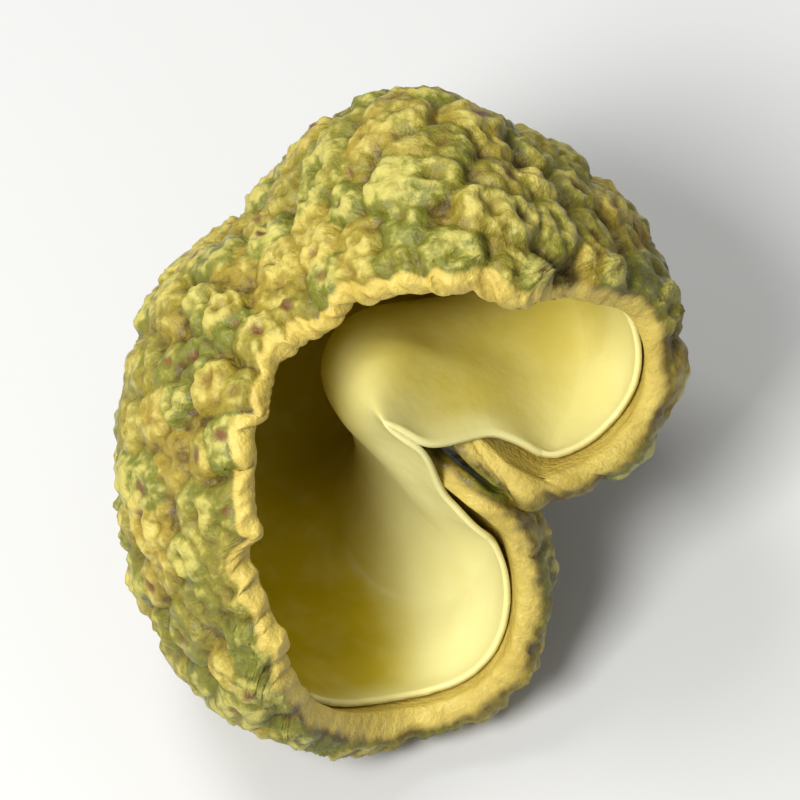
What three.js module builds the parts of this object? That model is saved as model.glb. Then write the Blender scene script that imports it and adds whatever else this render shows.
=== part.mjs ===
// A dried husk of green sichuan peppercorn: one follicle that has split along its seam and lies on its
// back on a small flat spot, mouth forward and up. Millimetres, +Z up, origin at the flat spot's centre.
// Two pieces: the warty outer wall, and the smooth pale lining that has come loose inside it.
//
// The wall is a stack of rings round the mouth axis, from the back pole (s = 0) to the rim (s = 1).
// On each ring the angle a runs round the axis and is 0 at the cleft, where the wall folds inwards.
import * as THREE from "three";

const { degToRad, lerp, smoothstep } = THREE.MathUtils;
const { sin, cos, exp, tanh, abs, min, max, round, floor, hypot, PI } = Math;

// Body: a rounded pouch, radius measured from the mouth axis and depth along it
const BODY_RADIUS = 2.74;
const BODY_DEPTH = 2.6;
const WALL = 0.3;
const LIP_WALL = 0.8;
const TORN_WALL = 0.5;
const THIN_FROM = 0.8;
const LINING = 0.12;
const LINING_EDGE = 0.5;
const LINING_GAP = 0.08;

// Swellings of the body round the axis: centre and width in degrees, height as a share of the radius
const BELLIES = [
  { centre: -38, width: 32, height: 0.23 },
  { centre: 92, width: 24, height: -0.07 },
  { centre: 128, width: 18, height: 0.09 },
  { centre: 165, width: 28, height: -0.24 },
  { centre: 178, width: 48, height: -0.13 },
  { centre: -90, width: 28, height: 0.14 },
];
const FRONT_SHIFT = 0.03;
// How far the back of the pouch hangs down, and how far up the meridian that reaches
const SAG = 1.05;
const SAG_REACH = 0.7;
const SWELL_FULL = 0.6;

// Rim: how far each meridian runs from the back pole, in degrees, and where the edge curls in further
const RIM_ANGLE = 110;
const RIM_CURLS = [
  { centre: 112, width: 36, height: 17 },
  { centre: 130, width: 20, height: 8 },
  { centre: 165, width: 26, height: -10 },
  { centre: 180, width: 30, height: 6 },
  { centre: -122, width: 40, height: 19 },
  { centre: -92, width: 22, height: 7 },
  { centre: -55, width: 26, height: -6 },
];
// The torn edge opposite the cleft: waves per turn, depth in degrees and phase
const TEARS = [
  { waves: 7, depth: 1.6, phase: 1 },
  { waves: 13, depth: 1.1, phase: 2 },
  { waves: 23, depth: 0.9, phase: 0 },
];
const TEAR_FROM = 75;
const TEAR_BLEND = 40;
const LIP_WAVE = { waves: 9, depth: 0.8, phase: 0.5 };
const TEAR_START = 0.75;

// Cleft: a wide valley outside and a closed crease at its bottom, half widths in degrees
const FOLD_START = 0.16;
const FOLD_FULL = 0.76;
const VALLEY = { half: 27, depth: 0.46, power: 1.3 };
const CREASE = { half: 1.8, depth: 0.78, power: 3 };
// How much wider the crease is below the rim, in degrees for the whole meridian, and the power of that
const SPREAD = { width: 135, power: 1.5 };
// How far the cleft is pushed across the mouth axis, and how far around that reaches
const PUSH = { depth: 0.6, along: 2, across: 1.2 };
const STEEP_REACH = 0.2;
const STEEP_HALF = 40;
// The wall's edge dips at the inner end of the crease, so that the lining closes over it. The dip runs out
// between two places on the line from the mouth axis to the cleft.
const DIP = { depth: 0.16, from: 0.6, full: 0, out: 0.75 };
const NOSE_REACH = 2.3;

// Oil glands: domes packed over the outside
const WART_PITCH = 0.52;
const WART_ROW = 0.87;
const WART_RADIUS = 0.3;
const WART_HEIGHT = 0.2;
const WART_SIZES = [0.8, 1.25];
const WART_HEIGHTS = [0.7, 1.3];
const WART_ROUND = 0.65;
const WART_JITTER = 0.45;
const WART_SHIFT = 0.3;
const WART_TOP = 0.97;
const WART_FREE_TIP = 0.15;
const CREASE_LENGTH = 0.9;
const WART_FADE = 0.3;
const LIP = { fade: 0.35, warts: 0.2 };
const TORN = { fade: 0.12, warts: 0.6 };

// Stalk scar: a low raised ring on the outside, below the cleft
const SCAR = { s: 0.4, turn: 0.065, radius: 0.3, edge: 0.1, height: 0.14 };
const SCAR_HOLLOW = { radius: 0.16, depth: 0.6 };

// Lining: how far up it reaches, how its sides close over the inner end of the crease, and where beside
// the crease its edge stands off, a length along the ring
const LINING_TOP = 0.965;
const EDGE_CLOSE = 0.06;
const CLOSING = { share: 0.92, full: -0.25, out: 0.65, start: 0.84, rise: 0.25 };
const LIFT = { depth: 0.08, at: 1.7, width: 0.4, start: 0.75 };

// Pose: where the mouth faces, how the cleft is rolled round the mouth axis, and the flat spot
const MOUTH_AZIMUTH = 21;
const MOUTH_ELEVATION = 28;
const CLEFT_ROLL = 40.5;
const STRETCH = new THREE.Vector3(0.955, 1.03, 1.03);
const FLAT_DEPTH = 0.15;
const FLAT_SMOOTH = 0.9;
const FLAT_FADE = 0.8;

// Fineness of the faces
const OUTER_STEP = 0.145;
const INNER_STEP = 0.28;
const LINING_STEP = 0.3;
const RIM_STEPS = 3;
const RIM_ROUND = 0.5;
const RIM_BACK = 0.03;
const FEWEST_POINTS = 8;
const GRID_ROWS = 60;
const GRID_COLUMNS = 720;
const RING_SAMPLES = 2400;
const RING_CHORDS = 240;
const CLEFT_SPACING = 0.08;
const CORNER_ROOM = 0.985;
const NOSE_GATHER = 0.5;
const NOSE_WIDTH = 0.03;

const HUSK = { color: 0xa39a3c, roughness: 0.6, metalness: 0 };
const LINING_SKIN = { color: 0xcfca78, roughness: 0.4, metalness: 0 };

const smooth = (x) => smoothstep(x, 0, 1);
const TURN = 2 * PI;

// Repeatable draw between low and high
const DRAW = { index: 12.9898, salt: 78.233, scale: 43758.5453 };
function draw(index, salt, [low, high]) {
  const x = sin(index * DRAW.index + salt * DRAW.salt) * DRAW.scale;
  return low + (high - low) * (x - floor(x));
}

// Signed angle, from -180 to 180 degrees
function degreesFromCleft(a) {
  const d = THREE.MathUtils.radToDeg(a) % 360;
  return d > 180 ? d - 360 : d;
}

function swell(a, { centre, width, height }) {
  const away = ((degreesFromCleft(a) - centre + 540) % 360) - 180;
  return height * exp(-((away / width) ** 2));
}

const wave = (a, { waves, depth, phase }) => depth * sin(waves * a + phase);
const sum = (list, term) => list.reduce((total, item) => total + term(item), 0);

// The mouth axis, the direction of the cleft and the third direction, as a turning matrix
function makePose() {
  const azimuth = degToRad(MOUTH_AZIMUTH);
  const elevation = degToRad(MOUTH_ELEVATION);
  const mouth = new THREE.Vector3(
    sin(azimuth) * cos(elevation),
    -cos(azimuth) * cos(elevation),
    sin(elevation),
  );
  const down = new THREE.Vector3(0, 0, -1);
  down.addScaledVector(mouth, -down.dot(mouth)).normalize();
  const cleft = down.clone().applyAxisAngle(mouth, degToRad(CLEFT_ROLL));
  return new THREE.Matrix4().makeBasis(cleft, mouth.clone().cross(cleft), mouth);
}

const pose = makePose();
const posed = (p) => p.clone().applyMatrix4(pose).multiply(STRETCH);
const DOWN = new THREE.Vector3(0, 0, -1).applyMatrix4(pose.clone().invert());

// 1 along the torn edge opposite the cleft and 0 along the lips beside it
const tornShare = (a) => smooth((abs(degreesFromCleft(a)) - TEAR_FROM) / TEAR_BLEND);

// Angle from the back pole, in radians, of the point at share s of the meridian at a
function poleAngle(a, s) {
  const rim = RIM_ANGLE + sum(RIM_CURLS, (curl) => swell(a, curl));
  const torn = tornShare(a);
  const waves = torn * sum(TEARS, (tear) => wave(a, tear)) + (1 - torn) * wave(a, LIP_WAVE);
  return degToRad(s * rim + waves * smooth((s - TEAR_START) / (1 - TEAR_START)));
}

const foldGrowth = (s) => smooth((s - FOLD_START) / (FOLD_FULL - FOLD_START));

// Share of the radius that is left where the wall folds inwards
function fold(a, s) {
  const x = abs(degreesFromCleft(a));
  const crease = { ...CREASE, half: CREASE.half + SPREAD.width * max(1 - s, 0) ** SPREAD.power };
  const cut = ({ half, depth, power }) => 1 - depth * foldGrowth(s) * exp(-((x / half) ** power));
  return cut(VALLEY) * cut(crease);
}

// Point of the outer surface, without its warts
function outerPoint(a, s) {
  const phi = poleAngle(a, s);
  const swelling = FRONT_SHIFT * cos(a) + sum(BELLIES, (belly) => swell(a, belly));
  const r = BODY_RADIUS * sin(phi) * (1 + swelling * smooth(s / SWELL_FULL)) * fold(a, s);
  const point = new THREE.Vector3(r * cos(a), r * sin(a), -BODY_DEPTH * cos(phi));
  const around = exp(-((point.x / PUSH.along) ** 2) - (point.y / PUSH.across) ** 2);
  point.x -= PUSH.depth * foldGrowth(s) * around;
  return point.addScaledVector(DOWN, SAG * (1 - smooth(s / SAG_REACH)));
}

// Angles round a ring from the cleft and back, much closer together at the cleft
const RING_ANGLES = Array.from({ length: RING_SAMPLES }, (_, i) => {
  const u = (2 * i) / RING_SAMPLES;
  const v = u < 1 ? u : u - 2;
  return (PI * (CLEFT_SPACING * v + (1 - CLEFT_SPACING) * v ** 3) + TURN) % TURN;
});

// The closed ring through the points, as count points at equal distances from the first one
function evenly(points, count) {
  const reach = [0];
  points.forEach((p, i) => reach.push(reach[i] + p.distanceTo(points[(i + 1) % points.length])));
  const out = [];
  let i = 0;
  for (let k = 0; k < count; k++) {
    const want = (reach[points.length] * k) / count;
    while (reach[i + 1] < want) i++;
    const share = (want - reach[i]) / (reach[i + 1] - reach[i]);
    out.push(points[i].clone().lerp(points[(i + 1) % points.length], share));
  }
  return out;
}

function outerRing(s) {
  const ring = RING_ANGLES.map((a) => outerPoint(a, s));
  return evenly(ring, GRID_COLUMNS);
}

// 1 on the folded-in wall of the cleft, which stands along the mouth axis, and 0 away from it
function steepness(a, s) {
  const x = degreesFromCleft(a) / STEEP_HALF;
  return smooth((s - FOLD_START) / STEEP_REACH) * exp(-x * x);
}

// Thickness of the wall, less towards the rim, and least along the torn edge
function wallAt(a, s) {
  const rimShare = lerp(LIP_WALL, TORN_WALL, tornShare(a));
  return WALL * lerp(1, rimShare, smooth((s - THIN_FROM) / (1 - THIN_FROM)));
}

// The ring at share s of the surface that lies the distance inside the wall. Points that a tight corner
// would throw across the wall are dropped.
function insetRing(s, distance) {
  const ring = RING_ANGLES.map((a) => outerPoint(a, s));
  const guard = evenly(ring, GRID_COLUMNS / 2);
  const kept = [];
  ring.forEach((p, i) => {
    const before = ring[(i + RING_SAMPLES - 1) % RING_SAMPLES];
    const after = ring[(i + 1) % RING_SAMPLES];
    const tx = after.x - before.x;
    const ty = after.y - before.y;
    const depth = distance + wallAt(RING_ANGLES[i], s);
    const phi = poleAngle(RING_ANGLES[i], s);
    const steep = steepness(RING_ANGLES[i], s);
    const inwards = depth * (sin(phi) + steep * (1 - sin(phi)));
    const upwards = depth * cos(phi) * (1 - steep);
    const scale = inwards / hypot(tx, ty);
    const q = new THREE.Vector3(p.x - ty * scale, p.y + tx * scale, p.z + upwards);
    const room = min(...guard.map((g) => hypot(g.x - q.x, g.y - q.y)));
    if (room >= inwards * CORNER_ROOM) kept.push(q);
  });
  return evenly(kept, GRID_COLUMNS);
}

// A surface as rows of points from the pole to the rim
function surface(ringAt) {
  const rows = Array.from({ length: GRID_ROWS }, (_, k) => ringAt((k + 1) / GRID_ROWS));
  const middle = new THREE.Vector3();
  rows[0].forEach((p) => middle.addScaledVector(p, 1 / GRID_COLUMNS));
  return [rows[0].map(() => middle), ...rows];
}

// Point of a surface at share s and at a share of the turn round its ring, measured along the ring
function pointAt(rows, s, turn) {
  const row = min(max(s, 0), 1) * GRID_ROWS;
  const column = (turn - floor(turn)) * GRID_COLUMNS;
  const k = min(floor(row), GRID_ROWS - 1);
  const j = floor(column) % GRID_COLUMNS;
  const next = (j + 1) % GRID_COLUMNS;
  const low = rows[k][j].clone().lerp(rows[k][next], column - floor(column));
  const high = rows[k + 1][j].clone().lerp(rows[k + 1][next], column - floor(column));
  return low.lerp(high, row - k);
}

// Outward normal there
function normalAt(rows, s, turn) {
  if (s === 0) return new THREE.Vector3(0, 0, -1);
  const ds = 1 / GRID_ROWS;
  const dt = 2 / GRID_COLUMNS;
  const along = pointAt(rows, s, turn + dt).sub(pointAt(rows, s, turn - dt));
  const up = pointAt(rows, s + ds, turn).sub(pointAt(rows, s - ds, turn));
  return along.cross(up).normalize();
}

const pathLength = (points) => sum(points.slice(1).map((p, i) => p.distanceTo(points[i])), (d) => d);

function ringLength(rows, s) {
  const points = Array.from({ length: RING_CHORDS }, (_, i) => pointAt(rows, s, i / RING_CHORDS));
  return pathLength([...points, points[0]]);
}

// Length from the pole to the rim, opposite the cleft
const meridianLength = (rows) => pathLength(rows.map((row) => row[GRID_COLUMNS / 2]));

const outside = surface(outerRing);
const inside = surface((s) => insetRing(s, 0));
const liningMiddle = surface((s) => insetRing(s, LINING_GAP + LINING / 2));
const MERIDIAN = meridianLength(outside);
const RIM_LENGTH = ringLength(outside, 1);
const fromTip = (turn, length) => min(turn, 1 - turn) * length;

// 1 at the inner end of the crease, and 0 from the second place on
function atNose(rows, turn, { full, out }) {
  if (fromTip(turn, RIM_LENGTH) > NOSE_REACH) return 0;
  return 1 - smooth((pointAt(rows, 1, turn).x - full) / (out - full));
}

// Share of the meridian that the wall reaches where a full one reaches s
function dipped(rows, s, turn) {
  return s - (DIP.depth * atNose(rows, turn, DIP) * max(0, s - DIP.from)) / (1 - DIP.from);
}

// What the flat spot takes off the plain outer surface, and the middle of that
const lowest = outside.flat().reduce((low, p) => min(low, posed(p).z), Infinity);
const pressed = outside.flat().filter((p) => posed(p).z < lowest + FLAT_DEPTH);
const flatMiddle = new THREE.Vector3();
pressed.forEach((p) => flatMiddle.addScaledVector(p, 1 / pressed.length));
const flatSpot = new THREE.Box3().setFromPoints(pressed.map(posed)).getCenter(new THREE.Vector3());
flatSpot.z = lowest + FLAT_DEPTH;

// Oil glands in staggered rows with a seeded jitter
function plantWarts() {
  const rows = round(MERIDIAN / (WART_PITCH * WART_ROW));
  const jitter = [-WART_JITTER / 2, WART_JITTER / 2];
  const out = [];
  let index = 0;
  for (let k = 0; k <= rows; k++) {
    const count = max(1, round(ringLength(outside, k / rows) / WART_PITCH));
    for (let j = 0; j < count; j++) {
      index++;
      const s = (WART_TOP * (k + draw(index, 1, jitter))) / rows;
      const turn = (j + 0.5 * (k % 2) + WART_SHIFT + draw(index, 2, jitter)) / count;
      out.push({
        centre: pointAt(outside, s, turn),
        radius: WART_RADIUS * draw(index, 3, WART_SIZES),
        height: WART_HEIGHT * draw(index, 4, WART_HEIGHTS),
      });
    }
  }
  return out;
}

const warts = plantWarts();
const scarCentre = pointAt(outside, SCAR.s, SCAR.turn);

function wartHeight(point) {
  let tallest = 0;
  for (const { centre, radius, height } of warts) {
    const d = point.distanceTo(centre) / radius;
    if (d >= 1) continue;
    tallest = max(tallest, height * (1 - d * d) ** WART_ROUND);
  }
  return tallest;
}

// Height of the outer skin over the plain surface: warts, none in the crease, lower at the rim and on
// the flat spot, and the stalk scar
function relief(point, s, turn) {
  const bare = WART_FREE_TIP + CREASE_LENGTH * foldGrowth(s);
  const torn = tornShare(Math.atan2(point.y, point.x));
  const rimWarts = lerp(LIP.warts, TORN.warts, torn);
  const rim = lerp(rimWarts, 1, smooth(((1 - s) * MERIDIAN) / lerp(LIP.fade, TORN.fade, torn)));
  const flat = smooth((point.distanceTo(flatMiddle) - FLAT_SMOOTH) / FLAT_FADE);
  const warty = wartHeight(point) * rim * flat *
    smooth((fromTip(turn, ringLength(outside, s)) - bare) / WART_FADE);
  const d = point.distanceTo(scarCentre);
  const inScar = 1 - smooth((d - SCAR.radius) / SCAR.edge);
  const scar = SCAR.height * (1 - SCAR_HOLLOW.depth * exp(-((d / SCAR_HOLLOW.radius) ** 2)));
  return warty * (1 - inScar) + scar * inScar;
}

// Shares of the turn for count points on a ring, closer together at the cleft
function turns(count) {
  const even = (u) => u - NOSE_GATHER * NOSE_WIDTH * tanh(u / NOSE_WIDTH);
  return Array.from({ length: count }, (_, j) => {
    const u = j / count < 0.5 ? j / count : j / count - 1;
    return (even(u) / even(0.5) / 2 + 1) % 1;
  });
}

// Rings of a skin from the pole to the rim, a step apart, each point made by place(s, turn)
function rings(rows, step, place) {
  const count = round(MERIDIAN / step);
  return Array.from({ length: count + 1 }, (_, k) => {
    if (k === 0) return [place(0, 0)];
    const s = k / count;
    return turns(max(FEWEST_POINTS, round(ringLength(rows, s) / step))).map((turn) => place(s, turn));
  });
}

// The rounded edge that joins the outer skin to the inner one
function rimRings(outerEdge) {
  const shares = turns(outerEdge.length);
  const tops = shares.map((turn) => dipped(outside, 1, turn));
  return Array.from({ length: RIM_STEPS - 1 }, (_, k) => {
    const angle = (PI * (k + 1)) / RIM_STEPS;
    return outerEdge.map((top, j) => {
      const bottom = pointAt(inside, dipped(inside, 1, shares[j]), shares[j]);
      const half = top.clone().sub(bottom).multiplyScalar(0.5);
      const before = pointAt(outside, tops[j] - RIM_BACK, shares[j]);
      const onward = pointAt(outside, tops[j], shares[j]).sub(before);
      const middle = top.clone().add(bottom).multiplyScalar(0.5);
      middle.addScaledVector(half, cos(angle));
      return middle.addScaledVector(onward.normalize(), RIM_ROUND * half.length() * sin(angle));
    });
  });
}

// Closed geometry over rings of points, the first and the last ring being one point each
function skin(list) {
  const start = [0];
  list.forEach((ring, k) => start.push(start[k] + ring.length));
  const faces = [];
  for (let k = 0; k + 1 < list.length; k++) {
    const [n, m, a, b] = [list[k].length, list[k + 1].length, start[k], start[k + 1]];
    let i = n === 1 ? 1 : 0;
    let j = m === 1 ? 1 : 0;
    while (i < n || j < m) {
      if (j >= m || (i < n && (i + 1) * m <= (j + 1) * n)) {
        faces.push(a + i, a + ((i + 1) % n), b + (j % m));
        i++;
      } else {
        faces.push(a + (i % n), b + ((j + 1) % m), b + j);
        j++;
      }
    }
  }
  return { points: list.flat(), faces };
}

// The outer wall
function makeHusk() {
  const place = (share, turn) => {
    const s = dipped(outside, share, turn);
    const p = pointAt(outside, s, turn);
    return p.addScaledVector(normalAt(outside, s, turn), relief(p, s, turn));
  };
  const outer = rings(outside, OUTER_STEP, place);
  const inner = rings(inside, INNER_STEP, (s, turn) => pointAt(inside, dipped(inside, s, turn), turn));
  return skin([...outer, ...rimRings(outer[outer.length - 1]), ...inner.reverse()]);
}

// The loose lining: a thin sheet that is thinner at its edge and lies close to the wall there, whose sides
// close over the inner end of the crease and stand off beside it
function makeLining() {
  const length = ringLength(liningMiddle, 1);
  const sheet = (side) => rings(liningMiddle, LINING_STEP, (s, turn) => {
    const towards = (start) => smooth((s - start) / (1 - start));
    const nose = atNose(liningMiddle, turn, CLOSING);
    const half = (LINING / 2) * (1 - (1 - LINING_EDGE) * towards(THIN_FROM));
    const lift = LIFT.depth * exp(-(((fromTip(turn, length) - LIFT.at) / LIFT.width) ** 2));
    const close = EDGE_CLOSE * towards(CLOSING.start) * (1 - nose);
    const shift = side * half + close - lift * towards(LIFT.start);
    const p = pointAt(liningMiddle, s * LINING_TOP, turn);
    const normal = normalAt(liningMiddle, s * LINING_TOP, turn);
    p.y *= 1 - CLOSING.share * nose * towards(CLOSING.start);
    p.z += CLOSING.rise * nose * towards(CLOSING.start);
    return p.addScaledVector(normal, shift);
  });
  return skin([...sheet(1), ...sheet(-1).reverse()]);
}

// A piece, turned into its pose, with what would reach below the flat spot pressed level with it
function makePiece(name, { points, faces }, look) {
  const placed = points.map((p) => posed(p).sub(flatSpot));
  placed.forEach((p) => p.setZ(max(p.z, 0)));
  const geometry = new THREE.BufferGeometry().setFromPoints(placed).setIndex(faces);
  geometry.computeVertexNormals();
  const mesh = new THREE.Mesh(geometry, new THREE.MeshStandardMaterial(look));
  mesh.name = name;
  return mesh;
}

const group = new THREE.Group();
group.add(makePiece("husk", makeHusk(), HUSK));
group.add(makePiece("lining", makeLining(), LINING_SKIN));

export default group;
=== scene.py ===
"""A dried, split and empty husk of green sichuan peppercorn: the warty outer wall and its loose pale lining.

The wall is a stack of rings round the mouth axis, from the back pole (s = 0) to the rim (s = 1). On each
ring the angle a runs round the axis and is 0 at the cleft, where the wall folds inwards. The pieces follow
the same formulas as the solids that they stand for, with finer steps, pitted glands and wrinkles.
Lengths are millimetres here, and turn into metres when a mesh, light or camera is made.
"""
import itertools
import math

import bpy
import numpy as np
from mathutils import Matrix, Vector


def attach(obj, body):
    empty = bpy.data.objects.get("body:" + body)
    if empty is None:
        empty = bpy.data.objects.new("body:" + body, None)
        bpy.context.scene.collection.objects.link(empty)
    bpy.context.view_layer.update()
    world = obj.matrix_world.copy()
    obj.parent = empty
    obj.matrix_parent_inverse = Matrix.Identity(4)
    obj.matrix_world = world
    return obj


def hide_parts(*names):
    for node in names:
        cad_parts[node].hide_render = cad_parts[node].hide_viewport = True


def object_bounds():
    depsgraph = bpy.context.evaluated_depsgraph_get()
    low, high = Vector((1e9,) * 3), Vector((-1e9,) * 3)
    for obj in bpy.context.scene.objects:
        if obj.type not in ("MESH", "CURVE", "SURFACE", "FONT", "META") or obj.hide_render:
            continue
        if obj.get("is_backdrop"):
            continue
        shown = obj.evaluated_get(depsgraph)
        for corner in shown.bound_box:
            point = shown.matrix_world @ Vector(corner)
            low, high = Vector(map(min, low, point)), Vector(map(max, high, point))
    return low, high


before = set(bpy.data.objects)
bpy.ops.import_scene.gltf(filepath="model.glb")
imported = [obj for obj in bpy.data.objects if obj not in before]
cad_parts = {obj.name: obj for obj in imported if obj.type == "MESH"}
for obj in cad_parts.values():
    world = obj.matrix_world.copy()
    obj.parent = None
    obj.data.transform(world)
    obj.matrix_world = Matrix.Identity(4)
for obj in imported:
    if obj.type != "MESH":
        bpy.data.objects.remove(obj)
cad_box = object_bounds()

MM = 0.001
TURN = 2 * math.pi
TURN_DEGREES = 360
GRAVITY = np.array([0.0, 0.0, -1.0])

# Body: a rounded pouch, radius measured from the mouth axis and depth along it
BODY_RADIUS = 2.74
BODY_DEPTH = 2.6
WALL = 0.3
LIP_WALL = 0.8
TORN_WALL = 0.5
THIN_FROM = 0.8
LINING = 0.12
LINING_EDGE = 0.5
LINING_GAP = 0.08

# Swellings of the body round the axis: centre and width in degrees, height as a share of the radius
BELLIES = [
    (-38, 32, 0.23),
    (92, 24, -0.07),
    (128, 18, 0.09),
    (165, 28, -0.24),
    (178, 48, -0.13),
    (-90, 28, 0.14),
]
FRONT_SHIFT = 0.03
SWELL_FULL = 0.6
# How far the back of the pouch hangs down, and how far up the meridian that reaches
SAG = 1.05
SAG_REACH = 0.7

# Rim: how far each meridian runs from the back pole, and where the edge curls in further, in degrees
RIM_ANGLE = 110
RIM_CURLS = [
    (112, 36, 17),
    (130, 20, 8),
    (165, 26, -10),
    (180, 30, 6),
    (-122, 40, 19),
    (-92, 22, 7),
    (-55, 26, -6),
]

# The torn edge opposite the cleft: waves per turn, depth in degrees and phase
TEARS = [(7, 1.6, 1), (13, 1.1, 2), (23, 0.9, 0)]
TEAR_FROM = 75
TEAR_BLEND = 40
LIP_WAVE = (9, 0.8, 0.5)
TEAR_START = 0.75
# Fine tears of the very edge, and how much of them the lips have
FINE_TEARS = [(37, 0.55, 1.3), (61, 0.5, 2.1), (89, 0.4, 0.4), (137, 0.3, 1.9)]
FINE_START = 0.93
LIP_FINE = 0.15

# Cleft: a wide valley outside and a closed crease at its bottom: half width in degrees, depth, power
FOLD_START = 0.16
FOLD_FULL = 0.76
VALLEY = (27, 0.46, 1.3)
CREASE = (1.8, 0.78, 3)
# How much wider the crease is below the rim, in degrees for the whole meridian, and the power of that
SPREAD = 135
SPREAD_POWER = 1.5
# How far the cleft is pushed across the mouth axis, and how far around that reaches
PUSH_DEPTH = 0.6
PUSH_ALONG = 2
PUSH_ACROSS = 1.2
STEEP_REACH = 0.2
STEEP_HALF = 40
# The wall's edge dips at the inner end of the crease, so that the lining closes over it. The dip runs out
# between two places on the line from the mouth axis to the cleft.
DIP_DEPTH = 0.16
DIP_FROM = 0.6
DIP_SPAN = (0.0, 0.75)
NOSE_REACH = 2.3

# Oil glands: domes packed over the outside, each with a pit and a rumpled outline
WART_PITCH = 0.52
WART_ROW = 0.87
WART_RADIUS = 0.3
WART_HEIGHT = 0.2
WART_SIZES = (0.8, 1.25)
WART_HEIGHTS = (0.7, 1.3)
WART_ROUND = 0.65
WART_JITTER = 0.45
WART_SHIFT = 0.3
WART_TOP = 0.97
WART_FREE_TIP = 0.15
CREASE_LENGTH = 0.9
WART_FADE = 0.3
PIT_RADIUS = 0.3
PIT_DEPTHS = (0.1, 0.75)
# How near the edge the warts fade, and what share of them is left there, on the lips and the torn edge
LIP_FADE = 0.24
LIP_WARTS = 0.55
TORN_FADE = 0.12
TORN_WARTS = 0.6

# Unevenness of the skin: wavelength and depth of a gland's outline, of wrinkles and of the rim
RUMPLE = (0.4, 0.022)
RUMPLE_SALTS = (10, 20, 30)
WRINKLE = (0.13, 0.012)
WRINKLE_SALT = 40
RIM_ROUGH = (0.2, 0.01)
RIM_ROUGH_SALT = 60
# How many waves make it up and how long they are, as shares of the wavelength
RIPPLE_WAVES = 24
RIPPLE_LENGTHS = (0.7, 1.4)
# How much of the wrinkles is left where there are no warts
BARE_WRINKLE = 0.3
# Grains on and between the glands: spacing, height and roundness
GRAIN = 0.26
GRAIN_HEIGHT = 0.1
GRAIN_ROUND = 0.6
GRAIN_SALT = 50
# Steps that give each cell of a lattice its own number
CELL_STEPS = (1.0, 57.0, 113.0)
# Steps and a scale that scatter the repeatable draws
INDEX_STEP = 12.9898
SALT_STEP = 78.233
DRAW_SCALE = 43758.5453

# Stalk scar: a low raised ring on the outside, below the cleft
SCAR_PLACE = (0.4, 0.065)
SCAR_RADIUS = 0.3
SCAR_EDGE = 0.1
SCAR_HEIGHT = 0.14
SCAR_HOLLOW_RADIUS = 0.16
SCAR_HOLLOW_DEPTH = 0.6

# Lining: how far up it reaches, how its sides close over the inner end of the crease, and where beside
# the crease its edge stands off, a length along the ring
LINING_TOP = 0.965
EDGE_CLOSE = 0.085
CLOSING_SHARE = 0.92
CLOSING_SPAN = (-0.25, 0.65)
CLOSING_START = 0.84
CLOSING_RISE = 0.25
LIFT_DEPTH = 0.08
LIFT_AT = 1.7
LIFT_WIDTH = 0.4
LIFT_START = 0.75

# Pose: where the mouth faces, how the cleft is rolled round the mouth axis, and the flat spot
MOUTH_AZIMUTH = 21
MOUTH_ELEVATION = 28
CLEFT_ROLL = 40.5
STRETCH = (0.955, 1.03, 1.03)
FLAT_DEPTH = 0.15
FLAT_SMOOTH = 0.9
FLAT_FADE = 0.8

# Fineness of the faces
OUTER_STEP = 0.037
INNER_STEP = 0.08
LINING_STEP = 0.06
RIM_STEPS = 9
RIM_ROUND = 0.5
RIM_BACK = 0.03
FEWEST_POINTS = 8
NOSE_GATHER = 0.5
NOSE_WIDTH = 0.03
GRID_ROWS = 60
GRID_COLUMNS = 720
RING_SAMPLES = 2400
RING_CHORDS = 240
CLEFT_SPACING = 0.08
CORNER_ROOM = 0.985
# The normal at the back pole, where a ring has no length
NO_LENGTH = 1e-12
POLE_NORMAL = (0, 0, -1)

# Numbers painted on each point for the materials: height on a gland, pit, tint, and share of the rim.
# They follow x, y and z in a row of numbers. On the lining, tint is painted light and shade, and rim is a
# painted highlight along its edge.
PAINTS = ("gland", "pit", "tint", "rim")
PAINT_START = 3
# How much of the height comes from the glands and from their grains, and what the inner side has
GLAND_PAINT = 0.6
GRAIN_PAINT = 0.5
INNER_PAINT = {"tint": 0.5, "rim": 1.0}
# How near the torn edge the skin turns pale, and how far the skin's own colours reach over the rim
PALE_EDGE = 0.1
RIM_SKIN = 0.7
# The lining turns pale on its way from the back to the cleft's side: up the meridian, and in a direction
# from the mouth axis. That pale is painted light. The valve above the cleft stays more olive, which is
# painted shade, less so near its edge beside the cleft.
LIGHT_PAINT_ROWS = (0.15, 0.55)
LIGHT_PAINT_WAY = (0.61, 0.77, 0.19)
LIGHT_PAINT_SPAN = (-0.95, -0.15)
SHADE_PAINT_SHARE = 0.7
SHADE_PAINT_SPAN = (-0.2, 0.4)
SHADE_PAINT_EDGE = (0.7, 0.95)
SHADE_PAINT_EDGE_SPAN = (0.5, 1.3)
SHADE_PAINT_EDGE_LOSS = 0.7
# Where the lining's very edge gets paler still: a painted highlight along it
EDGE_HIGHLIGHT_FROM = 0.93

# Colours as they look, from 0 to 255
GREEN_SKIN = (106, 108, 28)
OCHRE_SKIN = (146, 126, 38)
# Seams between the glands: their own brown, darkened as painted shade
SHADED_DARK_SEAM = (66, 50, 10)
SHADED_BROWN_SEAM = (92, 74, 18)
# A painted highlight on the tops of the glands
GLAND_HIGHLIGHT = (212, 198, 106)
DARK_PIT = (88, 54, 20)
BROWN_PIT = (124, 84, 38)
DARK_STRAW = (158, 132, 44)
PALE_STRAW = (218, 197, 102)
# The lining: its own deep olive yellow, and pale yellow to cream that is painted light
DEEP_OLIVE = (176, 156, 8)
DEEP_YELLOW = (192, 172, 20)
PAINTED_LIGHT_YELLOW = (224, 215, 138)
PAINTED_LIGHT_CREAM = (236, 229, 164)
LINING_STREAK = (238, 232, 178)
# A painted highlight along the lining's very edge
LINING_EDGE_HIGHLIGHT = (228, 219, 148)

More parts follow.
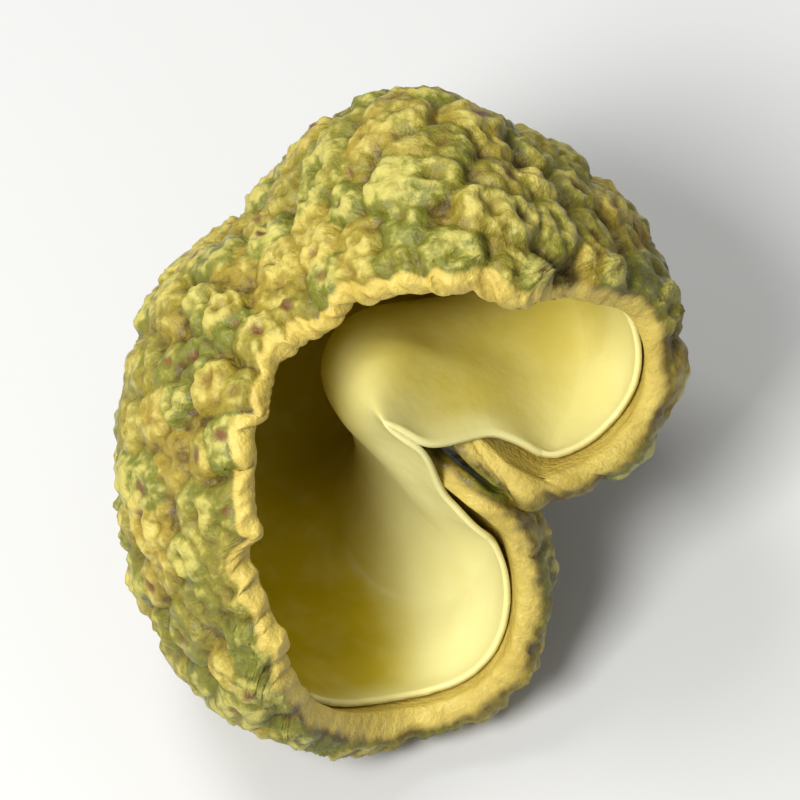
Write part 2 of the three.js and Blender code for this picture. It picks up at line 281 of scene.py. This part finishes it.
# Where the colours meet: spans of the height on a gland, of the pit and rim paints and of noise
SEAM_SHADE_SPAN = (0.25, 0.8)
# Where the painted highlight on a gland's top begins, and its share
HIGHLIGHT_SPAN = (0.75, 1.1)
HIGHLIGHT_SHARE = 0.55
PIT_SPAN = (0.35, 0.9)
PIT_PATCHES = (0.42, 0.6)
STRAW_SPAN = (0.3, 0.85)
STREAK_SPAN = (0.4, 0.7)
STREAK_SHARE = 0.1
# Roughness, which varies over the skin with a span of noise
SHINE_SPAN = (0.35, 0.65)
SKIN_ROUGHNESS = (0.36, 0.6)
LINING_ROUGHNESS = 0.36
FLOOR_ROUGHNESS = 0.8

# Stage: the floor, its colour as the shader wants it, two soft lights with their direction and watts, an
# even white room, and the camera
FLOOR_HALF = 400
FLOOR_COLOUR = (0.55, 0.55, 0.54, 1)
LIGHTS = {"key": ((-0.38, -0.46, 0.8), 0.047), "top": ((-0.35, 0.3, 0.89), 0.018)}
LIGHT_DISTANCE = 60
LIGHT_SIZE = 20
ROOM_LIGHT = 0.32
CAMERA_ELEVATION = 60
CAMERA_DISTANCE = 60
CAMERA_SENSOR = 36
VIEW_WIDTH = 7.4
NEAREST_SEEN = 1
FARTHEST_SEEN = 1000


def smooth(x):
    x = np.clip(x, 0, 1)
    return x * x * (3 - 2 * x)


def between(x, low, high):
    """0 below low and 1 above high."""
    return smooth((x - low) / (high - low))


def draw(index, salt, low=0.0, high=1.0):
    """Repeatable draw between low and high for each index. Each kind of draw has a salt of its own."""
    x = np.sin(np.asarray(index) * INDEX_STEP + salt * SALT_STEP) * DRAW_SCALE
    return low + (high - low) * (x - np.floor(x))


def degrees_from_cleft(a):
    """Signed angle, from -180 to 180 degrees."""
    d = np.degrees(a) % TURN_DEGREES
    return np.where(d > TURN_DEGREES / 2, d - TURN_DEGREES, d)


def swell(a, centre, width, height):
    """The height at the centre, and less and less beside it. Centre and width are in degrees."""
    away = (degrees_from_cleft(a) - centre + 1.5 * TURN_DEGREES) % TURN_DEGREES - TURN_DEGREES / 2
    return height * np.exp(-((away / width) ** 2))


def wave(a, waves, depth, phase):
    return depth * np.sin(waves * a + phase)


def pose_matrix():
    """The direction of the cleft, the third direction and the mouth axis, as columns."""
    azimuth = math.radians(MOUTH_AZIMUTH)
    elevation = math.radians(MOUTH_ELEVATION)
    mouth = np.array([
        math.sin(azimuth) * math.cos(elevation),
        -math.cos(azimuth) * math.cos(elevation),
        math.sin(elevation),
    ])
    down = GRAVITY - mouth * (GRAVITY @ mouth)
    down /= np.linalg.norm(down)
    roll = math.radians(CLEFT_ROLL)
    cleft = down * math.cos(roll) + np.cross(mouth, down) * math.sin(roll)
    return np.stack([cleft, np.cross(mouth, cleft), mouth], 1)


POSE = pose_matrix()
DOWN = GRAVITY @ POSE


def torn_share(a):
    """1 along the torn edge opposite the cleft and 0 along the lips beside it."""
    return smooth((np.abs(degrees_from_cleft(a)) - TEAR_FROM) / TEAR_BLEND)


def lip_to_torn(lip, torn_edge, torn):
    """A value that the lips and the torn edge have differently."""
    return lip + (torn_edge - lip) * torn


def pole_angle(a, s):
    """Angle from the back pole of the point at share s of the meridian at a."""
    rim = RIM_ANGLE + sum(swell(a, *curl) for curl in RIM_CURLS)
    torn = torn_share(a)
    waves = torn * sum(wave(a, *tear) for tear in TEARS) + (1 - torn) * wave(a, *LIP_WAVE)
    fine = lip_to_torn(LIP_FINE, 1, torn) * sum(wave(a, *tear) for tear in FINE_TEARS)
    edge = waves * between(s, TEAR_START, 1)
    edge = edge + fine * between(s, FINE_START, 1)
    return np.radians(s * rim + edge)


def fold_growth(s):
    return between(s, FOLD_START, FOLD_FULL)


def fold(a, s):
    """Share of the radius that is left where the wall folds inwards."""
    x = np.abs(degrees_from_cleft(a))
    left = 1
    for (half, depth, power), spread in ((VALLEY, 0), (CREASE, SPREAD)):
        width = half + spread * np.maximum(1 - s, 0) ** SPREAD_POWER
        left = left * (1 - depth * fold_growth(s) * np.exp(-((x / width) ** power)))
    return left


def outer_points(a, s):
    """Points of the outer surface, without its warts."""
    phi = pole_angle(a, s)
    swelling = FRONT_SHIFT * np.cos(a) + sum(swell(a, *belly) for belly in BELLIES)
    r = BODY_RADIUS * np.sin(phi) * (1 + swelling * smooth(s / SWELL_FULL)) * fold(a, s)
    x = r * np.cos(a)
    y = r * np.sin(a)
    x = x - PUSH_DEPTH * fold_growth(s) * np.exp(-((x / PUSH_ALONG) ** 2) - (y / PUSH_ACROSS) ** 2)
    points = np.stack([x, y, -BODY_DEPTH * np.cos(phi)], -1)
    return points + SAG * (1 - smooth(s / SAG_REACH)) * DOWN


def ring_angles():
    """Angles round a ring from the cleft and back, much closer together at the cleft."""
    u = 2 * np.arange(RING_SAMPLES) / RING_SAMPLES
    v = np.where(u < 1, u, u - 2)
    return (math.pi * (CLEFT_SPACING * v + (1 - CLEFT_SPACING) * v ** 3) + TURN) % TURN


ANGLES = ring_angles()


def chords(points):
    return np.linalg.norm(np.diff(points, axis=0), axis=1)


def evenly(points, count):
    """The closed ring through the points, as count points at equal distances from the first one."""
    closed = np.concatenate([points, points[:1]])
    reach = np.concatenate([[0], np.cumsum(chords(closed))])
    want = reach[-1] * np.arange(count) / count
    return np.stack([np.interp(want, reach, axis) for axis in closed.T], 1)


def outer_ring(s):
    return evenly(outer_points(ANGLES, s), GRID_COLUMNS)


def wall_at(a, s):
    """Thickness of the wall, less towards the rim, and least along the torn edge."""
    rim_share = lip_to_torn(LIP_WALL, TORN_WALL, torn_share(a))
    return WALL * (1 - (1 - rim_share) * between(s, THIN_FROM, 1))


def inset_ring(s, distance):
    """The ring at share s of the surface that lies the distance inside the wall.

    On the folded-in wall of the cleft it lies level with the outer one. Points that a tight corner would
    throw across the wall are dropped.
    """
    ring = outer_points(ANGLES, s)
    guard = evenly(ring, GRID_COLUMNS // 2)
    across = np.roll(ring, -1, 0) - np.roll(ring, 1, 0)
    phi = pole_angle(ANGLES, s)
    steep = smooth((s - FOLD_START) / STEEP_REACH)
    steep = steep * np.exp(-((degrees_from_cleft(ANGLES) / STEEP_HALF) ** 2))
    depth = distance + wall_at(ANGLES, s)
    inwards = depth * (np.sin(phi) + steep * (1 - np.sin(phi)))
    upwards = depth * np.cos(phi) * (1 - steep)
    scale = inwards / np.hypot(across[:, 0], across[:, 1])
    moved = ring + np.stack([-across[:, 1] * scale, across[:, 0] * scale, upwards], 1)
    away = np.hypot(moved[:, None, 0] - guard[None, :, 0], moved[:, None, 1] - guard[None, :, 1])
    return evenly(moved[away.min(1) >= inwards * CORNER_ROOM], GRID_COLUMNS)


def surface(ring_at):
    """A surface as rows of points from the pole to the rim."""
    rows = np.stack([ring_at((k + 1) / GRID_ROWS) for k in range(GRID_ROWS)])
    pole = np.broadcast_to(rows[0].mean(0), rows[:1].shape)
    return np.concatenate([pole, rows])


def point_at(rows, s, turn):
    """Points of a surface at shares s and at shares of the turn round the ring, measured along it."""
    row = np.clip(s, 0, 1) * GRID_ROWS + 0 * turn
    column = (turn - np.floor(turn)) * GRID_COLUMNS
    k = np.minimum(row.astype(int), GRID_ROWS - 1)
    j = np.floor(column).astype(int) % GRID_COLUMNS
    beside = (j + 1) % GRID_COLUMNS
    up = (row - k)[:, None]
    along = (column - np.floor(column))[:, None]
    low = rows[k, j] * (1 - along) + rows[k, beside] * along
    high = rows[k + 1, j] * (1 - along) + rows[k + 1, beside] * along
    return low * (1 - up) + high * up


def normal_at(rows, s, turn):
    """Outward normals there."""
    ds = 1 / GRID_ROWS
    dt = 2 / GRID_COLUMNS
    along = point_at(rows, s, turn + dt) - point_at(rows, s, turn - dt)
    up = point_at(rows, s + ds, turn) - point_at(rows, s - ds, turn)
    normal = np.cross(along, up)
    length = np.linalg.norm(normal, axis=1)[:, None]
    return np.where(length > 0, normal / np.maximum(length, NO_LENGTH), POLE_NORMAL)


def ring_length(rows, s):
    points = point_at(rows, s, np.arange(RING_CHORDS + 1) / RING_CHORDS)
    return chords(points).sum()


outside = surface(outer_ring)
inside = surface(lambda s: inset_ring(s, 0))
lining_middle = surface(lambda s: inset_ring(s, LINING_GAP + LINING / 2))
MERIDIAN = chords(outside[:, GRID_COLUMNS // 2]).sum()
LENGTHS = [ring_length(outside, k / GRID_ROWS) for k in range(GRID_ROWS + 1)]
RIM_LENGTH = LENGTHS[-1]


def level_length(s):
    """Lengths of the outer rings at shares s."""
    return np.interp(s, np.arange(GRID_ROWS + 1) / GRID_ROWS, LENGTHS)


def find_flat_spot():
    """The middle of what the flat spot takes off the plain outer surface: before and after the pose."""
    points = outside.reshape(-1, 3)
    placed = points @ POSE.T * STRETCH
    level = placed[:, 2].min() + FLAT_DEPTH
    pressed = placed[:, 2] < level
    low = placed[pressed].min(0)
    high = placed[pressed].max(0)
    return points[pressed].mean(0), np.array([*((low + high) / 2)[:2], level])


FLAT_MIDDLE, FLAT_SPOT = find_flat_spot()


def posed(points):
    """Points turned into the pose, with what would reach below the flat spot pressed level with it."""
    placed = points @ POSE.T * STRETCH - FLAT_SPOT
    placed[:, 2] = np.maximum(placed[:, 2], 0)
    return placed


def from_tip(turn, length):
    return np.minimum(turn, 1 - turn) * length


def at_nose(rows, turn, full, out):
    """1 at the inner end of the crease, and 0 from the second place on."""
    share = 1 - between(point_at(rows, 1, turn)[:, 0], full, out)
    return np.where(from_tip(turn, RIM_LENGTH) > NOSE_REACH, 0, share)


def dipped(rows, s, turn):
    """Share of the meridian that the wall reaches where a full one reaches s."""
    dip = DIP_DEPTH * at_nose(rows, turn, *DIP_SPAN)
    return s - dip * np.maximum(0, s - DIP_FROM) / (1 - DIP_FROM)


def ripple(points, wavelength, depth, salt):
    """Even, unordered waviness: a sum of waves in drawn directions."""
    index = np.arange(RIPPLE_WAVES)
    up = draw(index, salt, -1, 1)
    heading = draw(index, salt + 1, 0, TURN)
    flat = np.sqrt(1 - up * up)
    length = wavelength * draw(index, salt + 2, *RIPPLE_LENGTHS)
    direction = np.stack([flat * np.cos(heading), flat * np.sin(heading), up]) * TURN / length
    waves = np.cos(points @ direction + draw(index, salt + 3, 0, TURN))
    return depth * waves.sum(1) / math.sqrt(RIPPLE_WAVES / 2)


def plant_warts():
    """Oil glands in staggered rows with a seeded jitter: centre, radius, height, pit depth and tint."""
    rows = round(MERIDIAN / (WART_PITCH * WART_ROW))
    jitter = (-WART_JITTER / 2, WART_JITTER / 2)
    out = []
    index = 0
    for k in range(rows + 1):
        count = max(1, round(ring_length(outside, k / rows) / WART_PITCH))
        for j in range(count):
            index += 1
            s = WART_TOP * (k + draw(index, 1, *jitter)) / rows
            turn = (j + 0.5 * (k % 2) + WART_SHIFT + draw(index, 2, *jitter)) / count
            out.append([
                *point_at(outside, s, np.array([turn]))[0],
                WART_RADIUS * draw(index, 3, *WART_SIZES),
                WART_HEIGHT * draw(index, 4, *WART_HEIGHTS),
                draw(index, 5, *PIT_DEPTHS),
                draw(index, 6),
            ])
    return np.array(out)


WARTS = plant_warts()
SCAR_CENTRE = point_at(outside, SCAR_PLACE[0], np.array([SCAR_PLACE[1]]))[0]


def wart_field(points):
    """Height, pit share and tint of the tallest gland over each point."""
    places = WARTS[:, :3]
    radii, heights, pit_depths, tints = WARTS[:, 3:].T
    shift = np.stack([ripple(points, *RUMPLE, salt) for salt in RUMPLE_SALTS], 1)
    d = np.linalg.norm((points + shift)[:, None] - places[None], axis=2) / radii
    dome = np.clip(1 - d * d, 0, 1) ** WART_ROUND
    pit = np.exp(-((d / PIT_RADIUS) ** 2))
    height = heights * (dome - pit_depths * pit * (d < 1))
    top = np.argmax(height, 1)
    each = np.arange(len(points))
    return np.maximum(height[each, top], 0), pit[each, top], tints[top]


def grains(points):
    """Domes over scattered points: 1 at their tops and 0 between them."""
    place = points / GRAIN
    cell = np.floor(place)
    nearest = np.ones(len(points))
    for offset in itertools.product((-1, 0, 1), repeat=3):
        corner = cell + offset
        index = corner @ CELL_STEPS
        scattered = corner + np.stack([draw(index, GRAIN_SALT + k) for k in range(3)], 1)
        nearest = np.minimum(nearest, np.linalg.norm(place - scattered, axis=1))
    return (1 - nearest ** 2) ** GRAIN_ROUND


def painted(points, gland=0.0, pit=0.0, tint=0.0, rim=0.0):
    """Rows of x, y, z and the paints."""
    one = np.ones(len(points))
    return np.column_stack([points, gland * one, pit * one, tint * one, rim * one])


def scar(points):
    """Share of the stalk scar in the surface at each point, and its height."""
    d = np.linalg.norm(points - SCAR_CENTRE, axis=1)
    hollow = SCAR_HOLLOW_DEPTH * np.exp(-((d / SCAR_HOLLOW_RADIUS) ** 2))
    return 1 - smooth((d - SCAR_RADIUS) / SCAR_EDGE), SCAR_HEIGHT * (1 - hollow)


def outer_skin(share, turn):
    """The outer surface with its relief: warts, grains, wrinkles and the stalk scar."""
    s = dipped(outside, share, turn)
    points = point_at(outside, s, turn)
    torn = torn_share(np.arctan2(points[:, 1], points[:, 0]))
    from_edge = (1 - s) * MERIDIAN
    edge = smooth(from_edge / lip_to_torn(LIP_FADE, TORN_FADE, torn))
    rim = edge + (1 - edge) * lip_to_torn(LIP_WARTS, TORN_WARTS, torn)
    flat = smooth((np.linalg.norm(points - FLAT_MIDDLE, axis=1) - FLAT_SMOOTH) / FLAT_FADE)
    bare = WART_FREE_TIP + CREASE_LENGTH * fold_growth(s)
    free = smooth((from_tip(turn, level_length(s)) - bare) / WART_FADE) * rim * flat
    height, pit, tint = wart_field(points)
    in_scar, scar_height = scar(points)
    wrinkles = ripple(points, *WRINKLE, WRINKLE_SALT) * (BARE_WRINKLE + (1 - BARE_WRINKLE) * free)
    grain = grains(points)
    warts = (height + GRAIN_HEIGHT * (grain - 0.5)) * free * (1 - in_scar)
    relief = warts + scar_height * in_scar + wrinkles
    gland = GLAND_PAINT * height / WART_HEIGHT + GRAIN_PAINT * grain
    pale = torn * (1 - smooth(from_edge / PALE_EDGE))
    return painted(points + normal_at(outside, s, turn) * relief[:, None], gland, pit * free, tint, pale)


def inner_skin(s, turn):
    return painted(point_at(inside, dipped(inside, s, turn), turn), **INNER_PAINT)


def turns(count):
    """Shares of the turn for count points on a ring, closer together at the cleft."""
    def even(u):
        return u - NOSE_GATHER * NOSE_WIDTH * np.tanh(u / NOSE_WIDTH)
    u = np.arange(count) / count
    u = np.where(u < 0.5, u, u - 1)
    return (even(u) / even(0.5) / 2 + 1) % 1


def rings(rows, step, place):
    """Rings of a skin from the pole to the rim, a step apart, each with points made by place(s, turn)."""
    count = round(MERIDIAN / step)
    out = [place(0.0, np.zeros(1))]
    for k in range(1, count + 1):
        s = k / count
        out.append(place(s, turns(max(FEWEST_POINTS, round(ring_length(rows, s) / step)))))
    return out


def rim_rings(outer_edge):
    """The rounded edge that joins the outer skin to the inner one."""
    shares = turns(len(outer_edge))
    level = dipped(outside, 1.0, shares)
    inner_edge = inner_skin(1.0, shares)
    top = outer_edge[:, :PAINT_START]
    bottom = inner_edge[:, :PAINT_START]
    half = (top - bottom) / 2
    onward = point_at(outside, level, shares) - point_at(outside, level - RIM_BACK, shares)
    onward /= np.linalg.norm(onward, axis=1)[:, None]
    reach = RIM_ROUND * np.linalg.norm(half, axis=1)[:, None]
    out = []
    for k in range(1, RIM_STEPS):
        angle = math.pi * k / RIM_STEPS
        points = (top + bottom) / 2 + half * math.cos(angle) + onward * reach * math.sin(angle)
        rough = ripple(points, *RIM_ROUGH, RIM_ROUGH_SALT)[:, None] * math.sin(angle)
        pale = smooth(k / RIM_STEPS / RIM_SKIN)
        paint = outer_edge[:, PAINT_START:] * (1 - pale) + inner_edge[:, PAINT_START:] * pale
        out.append(np.column_stack([points + onward * rough, paint]))
    return out


def band(first, low, high):
    """Faces between a ring of low points, numbered from first on, and the next ring of high points.

    They go round both rings a step at a time. A ring of one point stays put.
    """
    faces = []
    second = first + low
    i = 1 if low == 1 else 0
    j = 1 if high == 1 else 0
    while i < low or j < high:
        if j >= high or (i < low and (i + 1) * high <= (j + 1) * low):
            faces.append((first + i, first + (i + 1) % low, second + j % high))
            i += 1
        else:
            faces.append((first + i % low, second + (j + 1) % high, second + j))
            j += 1
    return faces


def skin(stack):
    """Closed faces over rings of points, the first and the last ring being one point each."""
    faces = []
    first = 0
    for low, high in zip(stack, stack[1:]):
        faces += band(first, len(low), len(high))
        first += len(low)
    return np.concatenate(stack), faces


def add_object(name, data):
    item = bpy.data.objects.new(name, data)
    bpy.context.scene.collection.objects.link(item)
    return item


def make_piece(name, stack, node, material):
    """A mesh piece that stands for a CAD node."""
    rows, faces = skin(stack)
    mesh = bpy.data.meshes.new(name)
    mesh.from_pydata((posed(rows[:, :PAINT_START]) * MM).tolist(), [], faces)
    mesh.shade_smooth()
    for k, paint in enumerate(PAINTS):
        layer = mesh.attributes.new(paint, "FLOAT", "POINT")
        layer.data.foreach_set("value", rows[:, PAINT_START + k].astype(np.float32))
    mesh.materials.append(material)
    piece = add_object(name, mesh)
    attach(piece, "root")
    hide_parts(node)


def srgb(red, green, blue):
    """A colour given as it looks, from 0 to 255, as the shader wants it."""
    def linear(c):
        c /= 255
        return c / 12.92 if c <= 0.04045 else ((c + 0.055) / 1.055) ** 2.4
    return (linear(red), linear(green), linear(blue), 1)


class Graph:
    """The nodes of one material."""

    # Sockets of a mix node by number, because its number, vector and colour sockets share their names
    MIX_SHARE = 0
    MIX_FIRST = 6
    MIX_SECOND = 7
    MIX_RESULT = 2

    def __init__(self, name):
        self.material = bpy.data.materials.new(name)
        self.material.use_nodes = True
        self.tree = self.material.node_tree
        self.shader = self.tree.nodes["Principled BSDF"]
        self.place = self.add("ShaderNodeTexCoord").outputs["Object"]

    def add(self, kind, inputs=(), **settings):
        node = self.tree.nodes.new(kind)
        for key, value in settings.items():
            setattr(node, key, value)
        for key, value in dict(inputs).items():
            self.feed(node.inputs[key], value)
        return node

    def feed(self, socket, value):
        if isinstance(value, bpy.types.NodeSocket):
            self.tree.links.new(value, socket)
        else:
            socket.default_value = value

    def paint(self, name):
        return self.add("ShaderNodeAttribute", attribute_name=name).outputs["Fac"]

    def noise(self, size, detail=2.0, roughness=0.5):
        """Noise with features of about the size in millimetres."""
        settings = {"Vector": self.place, "Scale": 1 / (size * MM), "Detail": detail, "Roughness": roughness}
        return self.add("ShaderNodeTexNoise", settings).outputs["Fac"]

    def math(self, operation, *values):
        return self.add("ShaderNodeMath", enumerate(values), operation=operation).outputs[0]

    def uneven(self, value, size, depth, detail=2.0):
        """The value with noise round it."""
        noise = self.math("MULTIPLY_ADD", self.noise(size, detail), depth, -depth / 2)
        return self.math("ADD", value, noise)

    def span(self, value, source, target=(0.0, 1.0)):
        """The value's way through the source span, smoothly, as a number in the target span."""
        ends = dict(zip(("From Min", "From Max", "To Min", "To Max"), source + target))
        node = self.add("ShaderNodeMapRange", {"Value": value, **ends}, interpolation_type="SMOOTHSTEP")
        return node.outputs[0]

    def mix(self, share, first, second):
        """A blend of two colours, each a socket or red, green and blue."""
        node = self.add("ShaderNodeMix", data_type="RGBA")
        self.feed(node.inputs[self.MIX_SHARE], share)
        for socket, colour in ((self.MIX_FIRST, first), (self.MIX_SECOND, second)):
            self.feed(node.inputs[socket], srgb(*colour) if isinstance(colour, tuple) else colour)
        return node.outputs[self.MIX_RESULT]

    def bump(self, height, depth):
        """A bumped normal, the depth in millimetres."""
        return self.add("ShaderNodeBump", {"Height": height, "Distance": depth * MM}).outputs[0]

    def finish(self, **inputs):
        for key, value in inputs.items():
            self.feed(self.shader.inputs[key.replace("_", " ")], value)
        return self.material


def husk_material():
    """Oily warty skin: brown seams darkened with painted shade, green to ochre glands with a painted
    highlight on their tops, brownish pits and a straw rim.
    """
    g = Graph("husk_skin")
    tint = g.uneven(g.paint("tint"), size=0.5, depth=1.2)
    glands = g.mix(g.span(tint, (0.0, 1.0)), GREEN_SKIN, OCHRE_SKIN)
    # Seam colour: own brown, darkened as painted shade between the glands
    seam = g.mix(g.noise(size=0.9), SHADED_DARK_SEAM, SHADED_BROWN_SEAM)
    height = g.uneven(g.paint("gland"), size=0.11, depth=1.0, detail=4)
    body = g.mix(g.span(height, SEAM_SHADE_SPAN), seam, glands)
    # A painted highlight over the tops of the glands
    body = g.mix(g.span(height, HIGHLIGHT_SPAN, (0.0, HIGHLIGHT_SHARE)), body, GLAND_HIGHLIGHT)
    brown = g.mix(g.noise(size=0.3), DARK_PIT, BROWN_PIT)
    patches = g.span(g.noise(size=0.8), PIT_PATCHES)
    body = g.mix(g.math("MULTIPLY", g.span(g.paint("pit"), PIT_SPAN), patches), body, brown)
    straw = g.mix(g.noise(size=0.4, detail=3), DARK_STRAW, PALE_STRAW)
    rim = g.uneven(g.paint("rim"), size=0.25, depth=0.6, detail=3)
    colour = g.mix(g.span(rim, STRAW_SPAN), body, straw)
    return g.finish(
        Base_Color=colour,
        Roughness=g.span(g.noise(size=0.25, detail=3), SHINE_SPAN, SKIN_ROUGHNESS),
        Specular_IOR_Level=0.4,
        Normal=g.bump(g.noise(size=0.07, detail=4, roughness=0.6), depth=0.03),
        Subsurface_Weight=0.08,
        Subsurface_Radius=(1.0, 0.8, 0.3),
        Subsurface_Scale=0.2 * MM,
    )


def lining_material():
    """Thin satin skin, deep olive yellow, pale yellow to cream as painted light where its tint says so, a
    painted highlight along the edge, with faint streaks.
    """
    g = Graph("lining_skin")
    deep = g.mix(g.noise(size=1.6), DEEP_OLIVE, DEEP_YELLOW)
    pale = g.mix(g.noise(size=1.2), PAINTED_LIGHT_YELLOW, PAINTED_LIGHT_CREAM)
    # Pale yellow to cream is painted light over the lining's own deep colour, as the tint paint says
    painted_light_and_shade = g.mix(g.paint("tint"), deep, pale)
    streaks = g.span(g.noise(size=0.3, detail=3), STREAK_SPAN, (0.0, STREAK_SHARE))
    # The rim paint lays a painted highlight along the lining's very edge
    colour = g.mix(g.paint("rim"), g.mix(streaks, painted_light_and_shade, LINING_STREAK), LINING_EDGE_HIGHLIGHT)
    return g.finish(
        Base_Color=colour,
        Roughness=LINING_ROUGHNESS,
        Specular_IOR_Level=0.3,
        Normal=g.bump(g.noise(size=0.2, detail=3), depth=0.008),
        Subsurface_Weight=0.15,
        Subsurface_Radius=(1.0, 0.85, 0.3),
        Subsurface_Scale=0.25 * MM,
    )


def floor_material():
    g = Graph("floor_paint")
    return g.finish(Base_Color=FLOOR_COLOUR, Roughness=FLOOR_ROUGHNESS)


def make_husk():
    outer = rings(outside, OUTER_STEP, outer_skin)
    inner = rings(inside, INNER_STEP, inner_skin)
    make_piece("husk_wall", outer + rim_rings(outer[-1]) + inner[::-1], "husk", husk_material())


def lining_painted_light(points, s):
    """How pale the lining is at the points: painted light, less where the olive share lays painted shade."""
    # olive is painted shade on the valve above the cleft, and pale is painted light
    olive = SHADE_PAINT_SHARE * between(points[:, 1], *SHADE_PAINT_SPAN)
    near_edge = between(s, *SHADE_PAINT_EDGE) * between(points[:, 0], *SHADE_PAINT_EDGE_SPAN)
    olive *= 1 - SHADE_PAINT_EDGE_LOSS * near_edge
    pale = between(s, *LIGHT_PAINT_ROWS) * between(points @ LIGHT_PAINT_WAY, *LIGHT_PAINT_SPAN)
    return pale * (1 - olive)


def make_lining():
    """The loose lining: a thin sheet that is thinner at its edge and lies close to the wall there.

    Its sides close over the inner end of the crease and stand off beside it.
    """
    length = ring_length(lining_middle, 1)

    def sheet(side):
        def place(s, turn):
            nose = at_nose(lining_middle, turn, *CLOSING_SPAN)
            closing = between(s, CLOSING_START, 1)
            half = LINING / 2 * (1 - (1 - LINING_EDGE) * between(s, THIN_FROM, 1))
            lift = LIFT_DEPTH * np.exp(-(((from_tip(turn, length) - LIFT_AT) / LIFT_WIDTH) ** 2))
            close = EDGE_CLOSE * closing * (1 - nose)
            shift = side * half + close - lift * between(s, LIFT_START, 1)
            points = point_at(lining_middle, s * LINING_TOP, turn)
            points[:, 1] *= 1 - CLOSING_SHARE * nose * closing
            points[:, 2] += CLOSING_RISE * nose * closing
            # The tint paint of the lining is painted light and shade
            tint = lining_painted_light(points, s)
            points = points + normal_at(lining_middle, s * LINING_TOP, turn) * shift[:, None]
            # rim here is a painted highlight along the lining's very edge
            return painted(points, tint=tint, rim=between(s, EDGE_HIGHLIGHT_FROM, 1))
        return rings(lining_middle, LINING_STEP, place)

    make_piece("lining_sheet", sheet(1) + sheet(-1)[::-1], "lining", lining_material())


def make_floor():
    half = FLOOR_HALF * MM
    corners = [(-half, -half, 0), (half, -half, 0), (half, half, 0), (-half, half, 0)]
    mesh = bpy.data.meshes.new("floor")
    mesh.from_pydata(corners, [], [(0, 1, 2, 3)])
    mesh.materials.append(floor_material())
    floor = add_object("floor", mesh)
    floor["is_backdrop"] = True


def aim(item, target):
    item.rotation_euler = (target - item.location).to_track_quat("-Z", "Y").to_euler()


def make_light(name, direction, watts, target):
    light = bpy.data.lights.new(name, "AREA")
    light.size = LIGHT_SIZE * MM
    light.energy = watts
    lamp = add_object(name, light)
    lamp.location = target + Vector(direction).normalized() * (LIGHT_DISTANCE * MM)
    aim(lamp, target)


def make_room():
    """Even white light from all round."""
    world = bpy.data.worlds.new("room")
    world.use_nodes = True
    background = world.node_tree.nodes["Background"]
    background.inputs["Color"].default_value = (1, 1, 1, 1)
    background.inputs["Strength"].default_value = ROOM_LIGHT
    bpy.context.scene.world = world


def make_camera(target):
    elevation = math.radians(CAMERA_ELEVATION)
    camera = add_object("camera", bpy.data.cameras.new("camera"))
    back = Vector((0, -math.cos(elevation), math.sin(elevation)))
    camera.location = target + back * (CAMERA_DISTANCE * MM)
    aim(camera, target)
    camera.data.sensor_width = CAMERA_SENSOR
    camera.data.lens = CAMERA_SENSOR * CAMERA_DISTANCE / VIEW_WIDTH
    camera.data.clip_start = NEAREST_SEEN * MM
    camera.data.clip_end = FARTHEST_SEEN * MM
    bpy.context.scene.camera = camera


def make_stage():
    low, high = cad_box
    centre = (low + high) / 2
    make_floor()
    for name, (direction, watts) in LIGHTS.items():
        make_light(name, direction, watts, centre)
    make_room()
    make_camera(centre)
    bpy.context.scene.view_settings.view_transform = "Standard"


make_husk()
make_lining()
make_stage()

[[list(corner) for corner in box] for box in (cad_box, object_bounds())]
